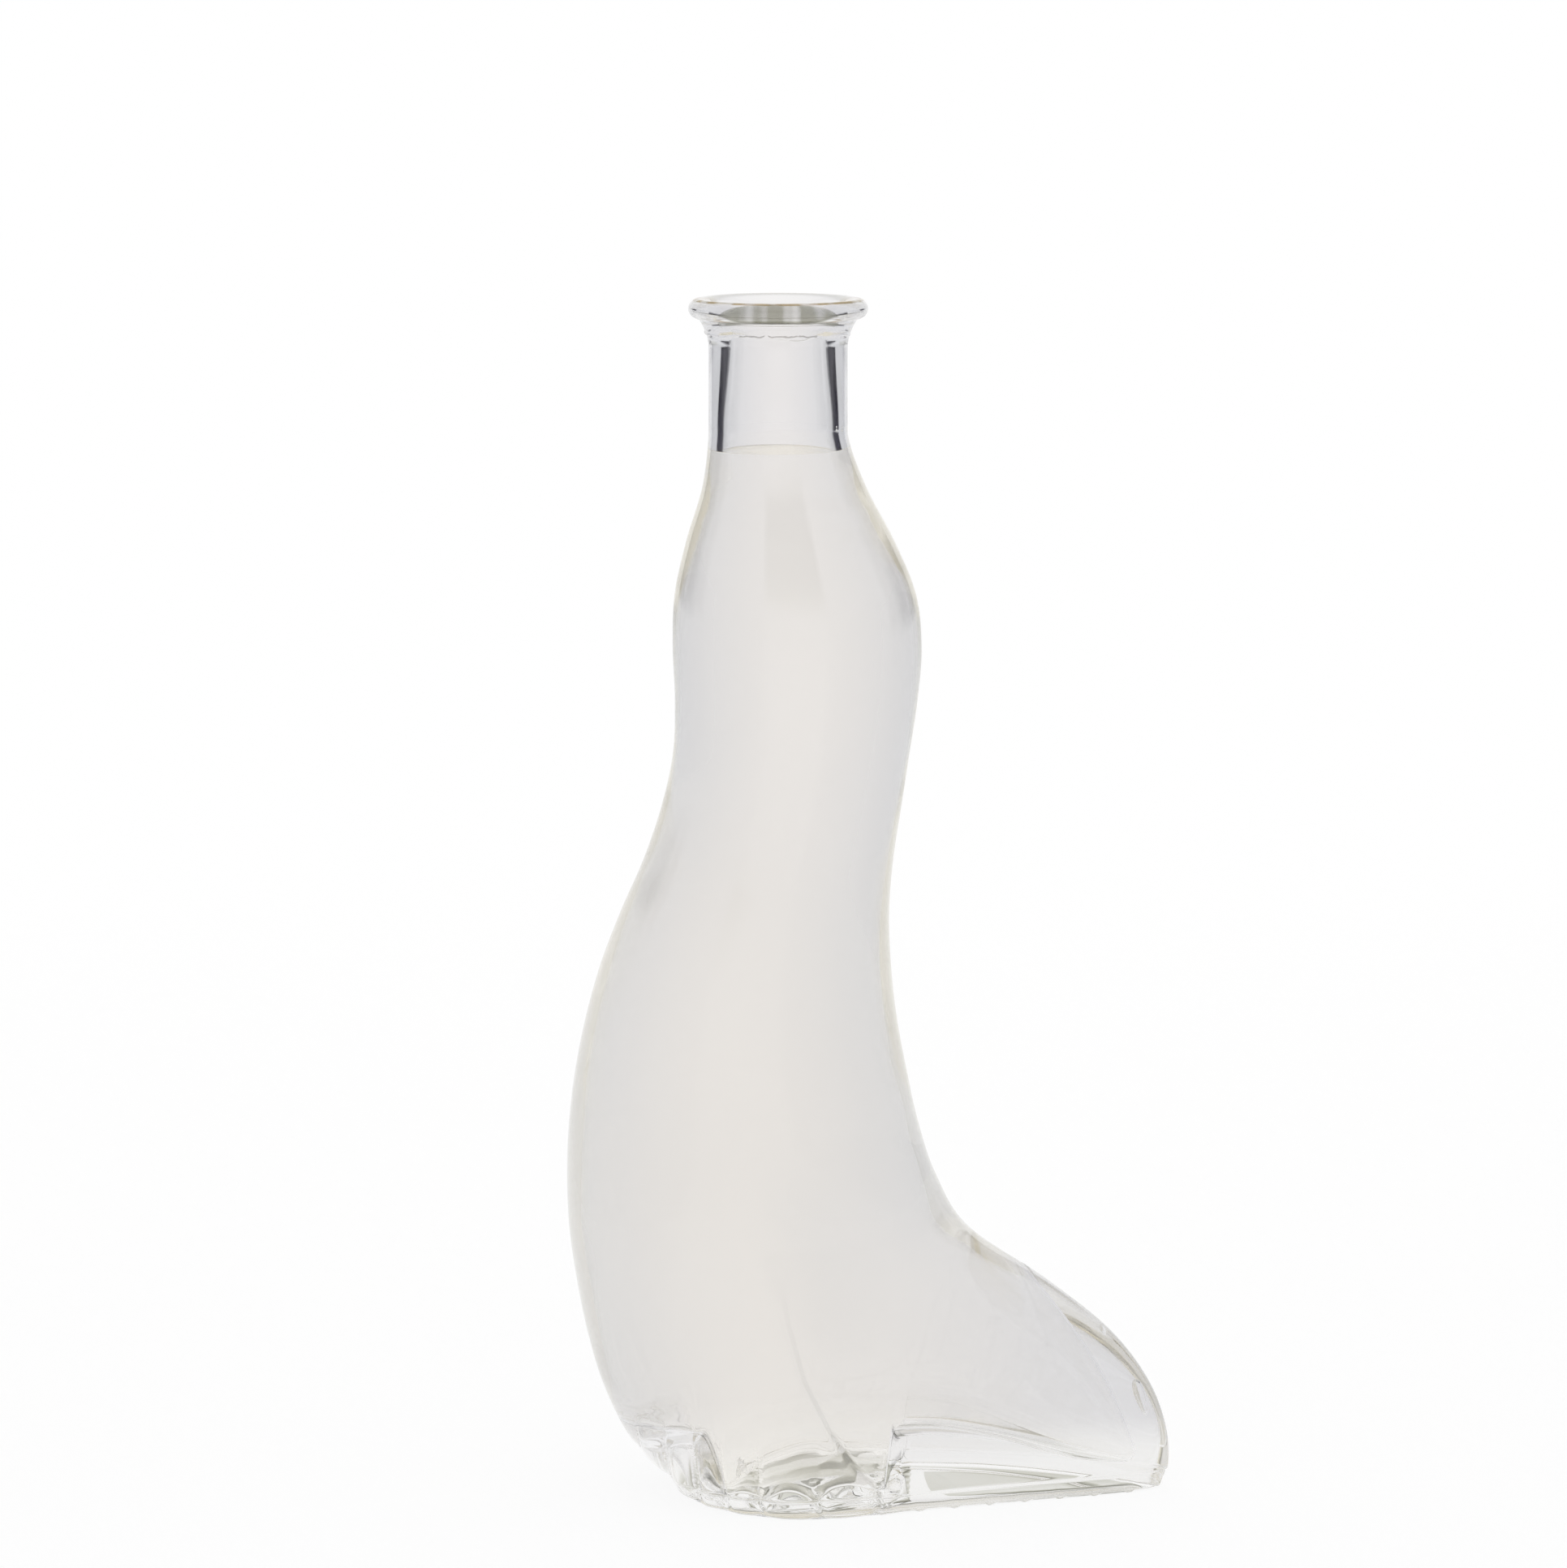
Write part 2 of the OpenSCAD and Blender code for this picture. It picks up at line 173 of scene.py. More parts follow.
class BottleShape(PropertyGroup):
    """Sizes of the bottle's glass and of the drink in it"""

    body_height: FloatProperty(
        name="Body height", description="From the rest face to the foot of the neck",
        default=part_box("neck")[0][2], unit="LENGTH",
    )
    seam_height: FloatProperty(
        name="Seam height", description="Height of the ring seam under the mouth",
        default=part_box("lip_and_mouth")[0][2], unit="LENGTH",
    )
    top_height: FloatProperty(
        name="Height", description="Height of the bottle",
        default=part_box("lip_and_mouth")[1][2], unit="LENGTH",
    )
    chest_reach: FloatProperty(
        name="Chest reach", description="Reach of the chest in front of the neck's axis",
        default=-CAD_BOX[0][0], unit="LENGTH",
    )
    tail_reach: FloatProperty(
        name="Tail reach", description="Reach of the tail behind the neck's axis",
        default=0.0673, unit="LENGTH",
    )
    body_width: FloatProperty(
        name="Body width", description="Greatest width from side to side",
        default=WIDTH_SHARE * CAD_BOX[1][1], unit="LENGTH",
    )
    wall: FloatProperty(
        name="Wall", description="Thickness of the glass in the body's wall",
        default=0.0034, unit="LENGTH",
    )
    tail_wall: FloatProperty(
        name="Tail wall", description="Thickness of the glass at the end of the tail",
        default=0.0052, unit="LENGTH",
    )
    neck_radius: FloatProperty(
        name="Neck radius", description="Outer radius of the neck",
        default=0.0117, unit="LENGTH",
    )
    bore_radius: FloatProperty(
        name="Bore radius", description="Radius of the neck's bore",
        default=(BORE["dims"]["r_mm"] - BORE_NARROWER) * MM, unit="LENGTH",
    )
    bore_taper: FloatProperty(
        name="Bore taper",
        description="How much wider the bore is at the neck's foot than at its middle",
        default=0.0005, unit="LENGTH",
    )
    lip_radius: FloatProperty(
        name="Lip radius", description="Outer radius of the lip",
        default=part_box("lip_and_mouth")[1][0], unit="LENGTH",
    )
    mouth_radius: FloatProperty(
        name="Mouth radius", description="Radius of the mouth at the lip's inner edge",
        default=0.0108, unit="LENGTH",
    )
    bead_radius: FloatProperty(
        name="Bead radius", description="Radius of the lip's rounded bead",
        default=0.0017, unit="LENGTH",
    )
    flare_drop: FloatProperty(
        name="Flare drop", description="Height of the flare below the ring seam",
        default=0.0016, unit="LENGTH",
    )
    plate_height: FloatProperty(
        name="Base plate", description="Height of the seam above the base plate",
        default=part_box("base_plate")[1][2], unit="LENGTH",
    )
    seam_step: FloatProperty(
        name="Seam step", description="How far the base plate stands in from the body above it",
        default=0.0004, unit="LENGTH",
    )
    plate_edge: FloatProperty(
        name="Plate edge", description="Radius of the base plate's lower edge",
        default=0.0006, unit="LENGTH",
    )
    tip_radius: FloatProperty(
        name="Tip radius", description="Rounding of the base plate under the tip of the tail",
        default=0.0008, unit="LENGTH",
    )
    rest_width: FloatProperty(
        name="Rest ring", description="Width of the ring that the bottle rests on",
        default=0.004, unit="LENGTH",
    )
    hollow: FloatProperty(
        name="Hollow", description="Depth of the hollow under the base",
        default=0.0008, unit="LENGTH",
    )
    floor_height: FloatProperty(
        name="Cavity floor", description="Height of the cavity's floor at the chest",
        default=0.0126, unit="LENGTH",
    )
    floor_radius: FloatProperty(
        name="Floor radius", description="Radius between the cavity's floor and its wall",
        default=0.0022, unit="LENGTH",
    )
    pocket_height: FloatProperty(
        name="Flipper pocket", description="Height of the cavity's floor in the front flippers",
        default=0.0042, unit="LENGTH",
    )
    floor_bow: FloatProperty(
        name="Floor bow", description="How far the cavity's floor rises from its middle to its sides",
        default=0.0032, unit="LENGTH",
    )
    scallop: FloatProperty(
        name="Scallops", description="How far the floor's edge dips between the toes",
        default=0.0016, unit="LENGTH",
    )
    toe_groove: FloatProperty(
        name="Toe grooves", description="Depth of the grooves between the toes",
        default=0.0024, unit="LENGTH",
    )
    toe_height: FloatProperty(
        name="Toe height", description="Height at which those grooves fade out",
        default=0.017, unit="LENGTH",
    )
    flipper_rear: FloatProperty(
        name="Flipper rear", description="Reach of the front flippers behind the neck's axis",
        default=0.017, unit="LENGTH",
    )
    flipper_height: FloatProperty(
        name="Flipper height", description="Height of the flipper's rear edge",
        default=0.042, unit="LENGTH",
    )
    relief: FloatProperty(
        name="Flipper relief", description="How far the flipper stands out at its rear edge",
        default=0.00028, unit="LENGTH",
    )
    stipple: FloatProperty(
        name="Stipple", description="Height of the small feet under the tail's rest ring",
        default=0.00035, unit="LENGTH",
    )
    foot_spacing: FloatProperty(
        name="Foot spacing", description="From one small foot to the next",
        default=0.006, unit="LENGTH",
    )
    fill_height: FloatProperty(
        name="Fill height", description="Height of the drink's surface",
        default=0.178, unit="LENGTH",
    )
    meniscus: FloatProperty(
        name="Meniscus", description="How far the drink climbs up the glass at its edge",
        default=0.00015, unit="LENGTH",
    )
    side_points: IntProperty(
        name="Side points", description="Points along one side of a ring of the mesh",
        default=260, min=24,
    )


class BottleFinish(PropertyGroup):
    """Colours and finish of the glass and of the drink"""

    glass_colour: FloatVectorProperty(
        name="Glass", description="Tint of the glass",
        default=(0.815, 0.793, 0.79), subtype="COLOR", min=0, max=1,
    )
    base_colour: FloatVectorProperty(
        name="Base", description="Tint of the glass in the base",
        default=(0.9, 0.895, 0.885), subtype="COLOR", min=0, max=1,
    )
    inside_colour: FloatVectorProperty(
        name="Inside", description="Tint of the glass at its inner face",
        default=(1, 1, 1), subtype="COLOR", min=0, max=1,
    )
    glass_ior: FloatProperty(
        name="Glass IOR", description="Refraction of the glass",
        default=1.5,
    )
    # Painted shade: the dark streaks that the mouth shows through the lip
    mouth_shade_colour: FloatVectorProperty(
        name="Mouth", description="Tint of the streaks inside the mouth",
        default=(0.16, 0.16, 0.115), subtype="COLOR", min=0, max=1,
    )
    # Painted shade: the brown line that the lip shows
    lip_shade_colour: FloatVectorProperty(
        name="Lip", description="Tint of the line on the lip",
        default=(0.3, 0.19, 0.08), subtype="COLOR", min=0, max=1,
    )
    drink_colour: FloatVectorProperty(
        name="Drink", description="Tint of the drink",
        default=(1, 0.968, 0.865), subtype="COLOR", min=0, max=1,
    )
    drink_density: FloatProperty(
        name="Drink depth", description="Strength of the drink's tint, per metre of its depth",
        default=10,
    )
    drink_ior: FloatProperty(
        name="Drink IOR", description="Refraction of the drink",
        default=1.35,
    )


class BottleStage(PropertyGroup):
    """The white stage, its light and the camera"""

    camera_distance: FloatProperty(
        name="Camera distance", description="From the neck's axis",
        default=1.2, unit="LENGTH",
    )
    camera_height: FloatProperty(
        name="Camera height", description="Above the floor",
        default=0.2869, unit="LENGTH",
    )
    camera_side: FloatProperty(
        name="Camera side", description="To the tail's side of the neck's axis",
        default=0.0009, unit="LENGTH",
    )
    camera_tilt: FloatProperty(
        name="Camera tilt", description="How far the camera looks down",
        default=math.radians(7.85), subtype="ANGLE",
    )
    camera_lens: FloatProperty(
        name="Focal length", description="In millimetres, on a sensor 36 mm wide",
        default=164.56,
    )
    floor_radius: FloatProperty(
        name="Floor radius", description="Radius of the white floor",
        default=4, unit="LENGTH",
    )
    card_distance: FloatProperty(
        name="Card distance", description="From the neck's axis to the pale card on each side",
        default=0.24, unit="LENGTH",
    )


def curve(values, place):
    """A smooth curve through equally spaced values."""
    values = np.asarray(values, float)
    last = len(values) - 1
    i = int(np.clip(np.floor(place), 0, last - 1))
    u = place - i
    a, b, c, d = values[max(i - 1, 0)], values[i], values[i + 1], values[min(i + 2, last)]
    return b + u / 2 * (c - a + u * (2 * a - 5 * b + 4 * c - d + u * (3 * (b - c) + d - a)))


def smooth(share):
    """A share from 0 to 1 that starts and ends gently."""
    s = np.clip(share, 0, 1)
    return s * s * (3 - 2 * s)


def mix(a, b, share):
    """The value at a share of the way from a to b."""
    return a + (b - a) * share


class Sections:
    """The bottle's level sections in metres, close to those of the CAD source."""

    def __init__(self, shape):
        self.s = shape
        # The sections end at the neck's own radius
        neck = [shape.neck_radius]
        self.front = [v * shape.chest_reach for v in FRONT_SHARES] + neck
        self.back = [v * shape.tail_reach for v in BACK_SHARES] + neck
        self.side = [v * shape.body_width / 2 for v in SIDE_SHARES] + neck
        self.widest = [WIDEST_SHARES[min(i, len(WIDEST_SHARES) - 1)] for i in range(STEPS + 1)]
        self.taper = [TAPER_SHARES[min(i, len(TAPER_SHARES) - 1)] for i in range(STEPS + 1)]
        n = shape.side_points
        side = np.arange(n + 1) / n
        # The points run along the far side to the tail, and back along the near side, whose hand is -1
        self.place = np.concatenate([side, side[-2:0:-1]])
        self.hand = np.concatenate([np.ones(n + 1), -np.ones(n - 1)])

    def at(self, values, z):
        """A size at a height."""
        return curve(values, STEPS * z / self.s.body_height)

    def slant(self, values, z):
        """How much longer a level cut through a sloping wall is than the wall's thickness."""
        h = self.s.body_height / STEPS / 4
        return math.sqrt(1 + ((self.at(values, z + h) - self.at(values, z - h)) / (2 * h)) ** 2)

    def outline(self, z, front_x, back_x, half_w):
        """The points of a section with two ends and a half width, from the chest round to the chest."""
        widest_x = mix(-self.at(self.front, z), self.at(self.back, z), self.at(self.widest, z))
        taper = self.at(self.taper, z)
        x = mix(front_x, back_x, (1 - np.cos(math.pi * self.place)) / 2)
        ahead = np.clip((widest_x - x) / (widest_x - front_x), 0, 1)
        behind = np.clip((x - widest_x) / (back_x - widest_x), 0, 1)
        soft = np.sqrt(behind**2 + TAPER_SOFT**2) - TAPER_SOFT
        longest = math.sqrt(1 + TAPER_SOFT**2) - TAPER_SOFT
        pointed = np.clip(1 - soft / longest, 0, 1) ** TAPER_POWER
        power = mix(FRONT_POWER, 2, smooth(z / self.s.floor_height))
        blunt = (1 - ahead**power) ** (1 / power)
        width = np.where(x < widest_x, blunt, mix(np.sqrt(1 - behind**2), pointed, taper))
        return np.stack([x, self.hand * half_w * width], axis=1), widest_x

    def toes(self, x, z):
        """How deep the toes' grooves cut, point by point, at a height."""
        v = x / self.s.flipper_rear
        toe = np.clip(np.searchsorted(TOE_SHARES, v, side="right") - 1, 0, len(TOE_SHARES) - 2)
        starts = np.take(TOE_SHARES, toe)
        ends = np.take(TOE_SHARES, toe + 1)
        across = np.clip(2 * (v - starts) / (ends - starts) - 1, -1, 1)
        depth = np.where((v > TOE_SHARES[0]) & (v < 1), 1 - np.sqrt(1 - across**2), 0)
        above = np.interp(v, TOE_SHARES, TOE_DEPTH_SHARES)
        below = np.interp(v, TOE_SHARES, TOE_LOW_SHARES)
        share = mix(below, above, smooth(z / self.s.plate_height - 0.8))
        return self.s.toe_groove * (1 - smooth(z / self.s.toe_height)) * depth * share

    def crease(self, x, z):
        """How far the surface lies back behind the flipper's rear edge."""
        s = self.s
        places = np.array(CREASE_SHARES)
        edge = np.interp(z / s.flipper_height, places[:, 1], places[:, 0] * s.flipper_rear)
        behind = smooth((x - edge) / (6 * s.relief) + 0.5) * (1 - smooth((x - edge) / (70 * s.relief)))
        fade = (1 - smooth(z / s.flipper_height * 2 - 1)) * smooth((z - s.plate_height) / s.seam_step)
        return s.relief * behind * fade

    def outside(self, z, inset=0.0, toes=True):
        """The points of the outer face at a height, moved in by a distance."""
        s = self.s
        front_x = inset - self.at(self.front, z)
        back_x = self.at(self.back, z) - inset
        xy, widest_x = self.outline(z, front_x, back_x, self.at(self.side, z) - inset)
        if toes:
            middle = np.array([widest_x, 0])
            out = xy - middle
            # The grooves fade out towards the tip of the chest, and only the near side has the crease
            beside = smooth(abs(xy[:, 1]) / s.body_width * 9)
            near = self.hand < 0
            back = self.toes(xy[:, 0], z) * beside + self.crease(xy[:, 0], z) * near
            xy = middle + out * (1 - back / np.linalg.norm(out, axis=1))[:, None]
        # The base plate is drawn in under the tip of the tail
        under = np.clip(1 - z / s.plate_height, 0, 1)
        drawn_in = s.tip_radius * (1 - math.sqrt(1 - under**2)) * smooth(12 * xy[:, 0] / s.tail_reach - 11)
        return xy - np.column_stack([drawn_in, np.zeros(len(xy))])

    def wall_at(self, z):
        """The wall's thickness at a height, which goes over into the neck's at the shoulder."""
        shoulder = 0.14
        s = self.s
        neck_wall = s.neck_radius - s.bore_radius - s.bore_taper
        return mix(s.wall, neck_wall, smooth((z / s.body_height - 1 + shoulder) / shoulder))

    def inside(self, z, inset=0.0):
        """The points of the cavity's wall at a height, moved in by a distance."""
        s = self.s
        wall = self.wall_at(z)
        # The tail's thicker wall goes over into the body's wall above it
        low = 1 - smooth(z / s.body_height / 0.2)
        slant = mix(self.slant(self.back, z), 1, 1 - smooth(z / s.body_height * 3 - 0.6))
        return self.outline(
            z,
            wall * self.slant(self.front, z) + inset - self.at(self.front, z),
            self.at(self.back, z) - wall * slant - (s.tail_wall - s.wall) * low - inset,
            self.at(self.side, z) - wall - inset,
        )[0]

    def floor_dip(self, x, across=1.0):
        """How far the cavity's floor lies below its height at the chest. It is lowest in the flippers."""
        s = self.s
        run = s.chest_reach + s.tail_reach - s.wall - s.tail_wall
        steps = (x + s.chest_reach - s.wall) / run * (len(FLOOR_SHARES) - 1)
        steps = np.clip(steps, 0, len(FLOOR_SHARES) - 1)
        high = s.floor_height * np.array([curve(FLOOR_SHARES, v) for v in steps])
        # The floor rises to its sides, and its pocket in the flippers has a scalloped edge
        high = high + s.floor_bow * across**2 * (1 - smooth(x / s.tail_reach * 2 - 0.6))
        ahead = smooth((x / s.flipper_rear + 0.72) / 0.3)
        behind = 1 - smooth((x / s.flipper_rear - 0.75) / 0.35)
        waves = abs(np.sin(math.pi * (x / s.flipper_rear + 0.11) / 0.41))
        low = s.pocket_height - s.scallop * (1 - waves) * smooth((across - 0.5) / 0.25)
        return s.floor_height - mix(high, low, ahead * behind)

    def feet(self, x):
        """How far the rest ring is lifted between the small feet under the tail, on the near side."""
        s = self.s
        beside = abs(x / s.foot_spacing - np.round(x / s.foot_spacing)) * s.foot_spacing
        between = smooth(beside / s.stipple / 2 - 0.5)
        return s.stipple * between * smooth((x - s.flipper_rear) / s.foot_spacing) * (self.hand < 0)

    def leaning(self, xy, amount):
        """A ring of the cavity with its points moved along it, so that the pocket's rear end leans back."""
        places = np.array(LEAN_SHARES) * self.s.flipper_rear
        x = xy[:, 0] + amount * np.interp(xy[:, 0], places[:, 0], places[:, 1])
        side = xy[: self.s.side_points + 1]
        return np.column_stack([x, self.hand * np.interp(x, side[:, 0], abs(side[:, 1]))])

    def circle(self, radius):
        """The points of a circle round the neck's axis."""
        a = math.pi * (1 - self.place)
        return np.stack([radius * np.cos(a), radius * self.hand * np.sin(a)], axis=1)


def level(xy, z):
    """A ring of points at a height, which may differ from point to point."""
    return np.column_stack([xy, np.broadcast_to(z, len(xy))])


def cavity_rings(form, outset, top, step):
    """Rings up the cavity from its floor's edge to a height, pushed out into the glass by a distance."""
    s = form.s
    edge = s.floor_height + s.floor_radius
    rings = []
    for a in ROUNDED:
        xy = form.inside(edge, s.floor_radius * (1 - math.sin(a)) - outset)
        z = s.floor_height + s.floor_radius * (1 - math.cos(a)) - outset * math.cos(a)
        rings.append(level(form.leaning(xy, 1), z - form.floor_dip(xy[:, 0])))
    for z in np.linspace(edge, top, max(2, round((top - edge) / step)))[1:]:
        xy = form.inside(z, -outset)
        fade = 1 - smooth((z - edge) / (2.5 * s.floor_height))
        low = 1 - smooth((z - edge) / s.pocket_height)
        rings.append(level(form.leaning(xy, low), z - fade * form.floor_dip(xy[:, 0])))
    return rings


def floor_rings(form, outset):
    """Rings across the cavity's floor, from its middle to its edge."""
    s = form.s
    edge = s.floor_height + s.floor_radius
    rim = form.inside(edge, s.floor_radius - outset)
    places = rim[:, 0]
    rim = form.leaning(rim, 1)
    middle = np.column_stack([rim[:, 0], np.zeros(len(rim))])
    rings = []
    for share in np.linspace(0, 1, RINGS["floor"])[1:-1]:
        z = s.floor_height - form.floor_dip(places, share) - outset
        rings.append(level(mix(middle, rim, share), z))
    return rings


def bubble(middle, radii, lean):
    """The points and faces of a small hollow in the glass, which face into the hollow."""
    turns, steps = 20, 12
    x, y, z = middle
    points = [(x - lean * radii[2], y, z + radii[2]), (x + lean * radii[2], y, z - radii[2])]
    for a in np.linspace(0, math.pi, steps + 1)[1:-1]:
        for b in 2 * math.pi * np.arange(turns) / turns:
            up = radii[2] * math.cos(a)
            side = math.sin(a) * (1 + BUBBLE_PEAR * math.cos(a))
            across = x - lean * up + radii[0] * side * math.cos(b)
            points.append((across, y + radii[1] * side * math.sin(b), z + up))
    faces = []
    for k in range(turns):
        m = (k + 1) % turns
        faces.append([0, 2 + m, 2 + k])
        for row in range(steps - 2):
            start = 2 + row * turns
            faces.append([start + k, start + m, start + turns + m, start + turns + k])
        last = 2 + (steps - 2) * turns
        faces.append([1, last + k, last + m])
    return points, faces


def bubbles_of(s):
    """The middles, radii and leans of the bubbles."""
    return [
        (
            (x * s.tail_reach, y * s.body_width / 2, z * s.top_height),
            [share * s.wall for share in shares],
            BUBBLE_LEAN if z < 0.5 else 0,
        )
        for (x, y, z), shares in BUBBLE_SHARES
    ]


def loft(name, rings, parts=(), bubbles=()):
    """A closed mesh through rings of equally many points, whose first and last rings are closed across.

    Each of the parts names the first and last ring of the faces that carry one more material. All other
    faces carry the first.
    """
    count = len(rings[0])
    half = count // 2
    verts = np.concatenate(rings)
    i = np.arange(count)
    j = (i + 1) % count
    strip = np.stack([i, count + i, count + j, j], axis=1)
    quads = np.concatenate([k * count + strip for k in range(len(rings) - 1)])
    across = np.arange(1, half - 1)
    cap = np.stack([across, across + 1, count - across - 1, count - across], axis=1)
    ends = [[0, 1, count - 1], [half - 1, half, half + 1]]
    last = (len(rings) - 1) * count
    faces = quads.tolist() + cap.tolist() + ends
    faces += (last + cap[:, ::-1]).tolist() + [[last + v for v in reversed(f)] for f in ends]
    verts = verts.tolist()
    for middle, radii, lean in bubbles:
        points, sides = bubble(middle, radii, lean)
        faces += [[len(verts) + v for v in side] for side in sides]
        verts += points
    mesh = bpy.data.meshes.new(name)
    mesh.from_pydata(verts, [], faces)
    index = np.zeros(len(faces), int)
    for number, (first, last_ring) in enumerate(parts, start=1):
        index[first * count:last_ring * count] = number
    mesh.polygons.foreach_set("material_index", index)
    mesh.validate()
    mesh.shade_smooth()
    piece = bpy.data.objects.new(name, mesh)
    bpy.context.collection.objects.link(piece)
    return piece


def glass_rings(form):
    """Rings from the base's hollow, up the outside, over the lip and down inside to the cavity's floor."""
    s = form.s
    inset = s.seam_step + s.plate_edge
    rings = []
    # The hollow, from its middle to the rest ring
    rim = form.outside(0, inset + 2 * s.rest_width, toes=False)
    middle = np.column_stack([rim[:, 0], np.zeros(len(rim))])
    for share in np.linspace(0, 1, RINGS["hollow"])[1:-1]:
        rings.append(level(mix(middle, rim, share), s.hollow))
    for a in ROUNDED:
        z = s.hollow * math.cos(a)
        rings.append(level(form.outside(z, inset + s.rest_width * (2 - math.sin(a)), toes=False), z))
    underside = len(rings) - 1
    # The base plate's lower edge and its side. Under the tail it stands on small feet
    for share in (0.4, 0.75, 0.9):
        xy = form.outside(0, inset + s.rest_width * (1 - share), toes=False)
        rings.append(level(xy, form.feet(xy[:, 0]) * smooth(share * 4 - 3)))
    for a in ROUNDED:
        xy = form.outside(0, inset - s.plate_edge * math.sin(a))
        z = s.plate_edge * (1 - math.cos(a))
        rings.append(level(xy, z + form.feet(xy[:, 0]) * (1 - z / s.plate_edge)))
    plate_top = s.plate_height - s.seam_step
    rings.append(level(form.outside(plate_top, s.seam_step), plate_top))
    # The body, from the plate's seam to the neck
    for share in np.linspace(0, 1, 5)[:-1]:
        z = s.plate_height + share * s.seam_step
        rings.append(level(form.outside(z, s.seam_step * (1 - math.sin(math.pi / 2 * share))), z))
    for z in np.linspace(s.plate_height + s.seam_step, s.flipper_height, RINGS["flippers"]):
        rings.append(level(form.outside(z), z))
    for z in np.linspace(s.flipper_height, s.body_height, RINGS["body"])[1:]:
        rings.append(level(form.outside(z), z))
    # The neck, the flare and the lip
    flare = s.seam_height - s.flare_drop
    bead = s.top_height - s.bead_radius
    bead_middle = s.lip_radius - s.bead_radius
    flare_top = bead - s.bead_radius
    for z in np.linspace(s.body_height, flare, RINGS["neck"])[1:]:
        rings.append(level(form.circle(s.neck_radius), z))
    # A broken ridge runs round the neck in waves, above the ring seam
    turn = math.pi * np.arange(2 * s.side_points) / s.side_points
    wave = s.seam_step * (np.sin(5 * turn + 1) + 0.6 * np.sin(11 * turn)) / 2
    broken = 0.6 + 0.4 * np.sin(7 * turn + 2)
    for share in np.linspace(0, 1, RINGS["flare"])[1:]:
        z = mix(flare, flare_top, share)
        above = (z - s.seam_height - 2 * s.seam_step - wave) / s.seam_step * 2
        ridge = 0.6 * s.seam_step * broken * np.exp(-(above**2))
        radius = mix(s.neck_radius, bead_middle, share**1.9)
        rings.append(level(form.circle(radius + ridge), z))
    for a in np.linspace(-math.pi / 2, math.pi / 2, RINGS["lip"])[1:]:
        radius = bead_middle + s.bead_radius * math.cos(a)
        rings.append(level(form.circle(radius), bead + s.bead_radius * math.sin(a)))
    # The mouth's material starts on the lip, a few rings before its top
    mouth_ring = len(rings) - 5
    inner = [
        (s.mouth_radius + s.bead_radius / 2, s.top_height - s.bead_radius / 6),
        (s.mouth_radius, s.top_height - s.bead_radius / 2),
        (s.mouth_radius - s.bead_radius / 4, bead),
        (s.mouth_radius - s.bead_radius / 3, bead - s.bead_radius / 2),
    ]
    for radius, z in inner:
        rings.append(level(form.circle(radius), z))
    start_r, start_z = inner[-1]
    for share in np.linspace(0, 1, RINGS["mouth"])[1:]:
        radius = mix(start_r, s.bore_radius - s.bore_taper, smooth(share))
        rings.append(level(form.circle(radius), mix(start_z, s.seam_height, share)))
    bore_ring = len(rings) - 1
    for share in np.linspace(0, 1, RINGS["bore"])[1:-1]:
        z = mix(s.seam_height, s.body_height, share)
        rings.append(level(form.circle(s.bore_radius + s.bore_taper * (2 * smooth(share) - 1)), z))
    cavity = cavity_rings(form, 0, s.body_height, 0.8 * MM)
    rings += cavity[::-1]
    rings += floor_rings(form, 0)[::-1]
    return rings, ((underside, mouth_ring), (mouth_ring, bore_ring))


def drink_rings(form):
    """Rings from the middle of the cavity's floor, up the wall and over the drink's surface.

    The drink reaches a little into the glass, so that no thin gap of air shows between them.
    """
    s = form.s
    overlap = 0.1 * MM
    rings = floor_rings(form, overlap) + cavity_rings(form, overlap, s.fill_height, 1.6 * MM)
    edge = form.inside(s.fill_height, -overlap)
    middle = edge.mean(axis=0)
    # The surface falls from the meniscus at its edge, and is flat further in
    climb = 0.35
    rings.append(level(edge, s.fill_height + s.meniscus))
    for share in np.linspace(0, 1, 8)[1:]:
        z = s.fill_height + s.meniscus * math.exp(-5 * share)
        rings.append(level(mix(edge, middle, climb * share), z))
    for share in np.linspace(climb, 0.95, 6)[1:]:
        rings.append(level(mix(edge, middle, share), s.fill_height))
    return rings


def feed(tree, socket, value):
    """Links a socket to another one, or sets its number or its colour."""
    if isinstance(value, bpy.types.NodeSocket):
        tree.links.new(value, socket)
    elif isinstance(value, tuple):
        socket.default_value = (*value, 1)
    else:
        socket.default_value = value


def calc(tree, operation, *values):
    """The result of a Math node, from sockets and numbers."""
    node = tree.nodes.new("ShaderNodeMath")
    node.operation = operation
    for socket, value in zip(node.inputs, values):
        feed(tree, socket, value)
    return node.outputs[0]


def share_of(tree, value, start, end, most=1.0):
    """How far a value lies on its way from start to end, as a share from 0 to most."""
    node = tree.nodes.new("ShaderNodeMapRange")
    node.inputs["From Min"].default_value = start
    node.inputs["From Max"].default_value = end
    node.inputs["To Max"].default_value = most
    tree.links.new(value, node.inputs["Value"])
    return node.outputs["Result"]


def ramp(tree, value, stops):
    """A colour ramp over a value, from its positions and colours in rising order."""
    node = tree.nodes.new("ShaderNodeValToRGB")
    elements = node.color_ramp.elements
    for _ in stops[2:]:
        elements.new(0.5)
    for element, (position, colour) in zip(elements, stops):
        element.position = position
        element.color = (*colour, 1)
    tree.links.new(value, node.inputs["Fac"])
    return node.outputs["Color"]


def blend(tree, share, first, second, kind="MIX"):
    """A mix of two colours by a share."""
    node = tree.nodes.new("ShaderNodeMix")
    node.data_type = "RGBA"
    node.blend_type = kind
    feed(tree, node.inputs["Factor"], share)
    feed(tree, node.inputs["A"], first)
    feed(tree, node.inputs["B"], second)
    return node.outputs["Result"]


